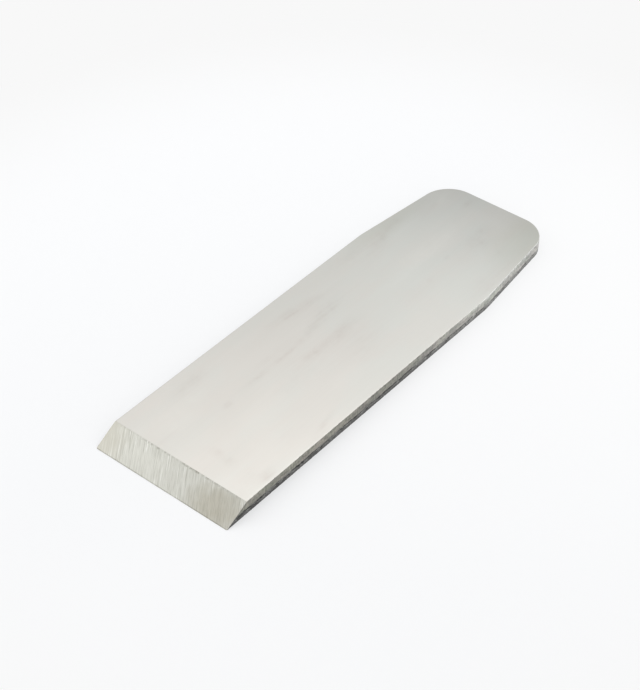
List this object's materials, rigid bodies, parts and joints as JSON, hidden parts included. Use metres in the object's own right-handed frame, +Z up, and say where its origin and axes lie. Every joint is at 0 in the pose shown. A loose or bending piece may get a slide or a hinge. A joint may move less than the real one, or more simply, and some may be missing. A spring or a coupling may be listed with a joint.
{
  "type": "plane iron",
  "caption": "Flat steel blade for a hand plane: a single ground bevel at one end, sides tapering to a narrower tail with rounded corners at the other.",
  "frame": {"origin": "centre of the blade's footprint, on its flat back", "axes": "+Y along the blade from the cutting edge to the tail, +X across its width, +Z up from the flat back to the face that the bevel is ground into"},
  "size_m": [0.0508, 0.1624, 0.0048],
  "materials": {
    "ground_steel": "bare tool steel: satin-ground faces with faint smoky streaks along the length, a bevel with coarse slanting grinding scratches, and a sheared edge that is smooth above and torn below"
  },
  "bodies": {
    "root": {"plane_iron": "ground_steel"}
  },
  "joints": []
}
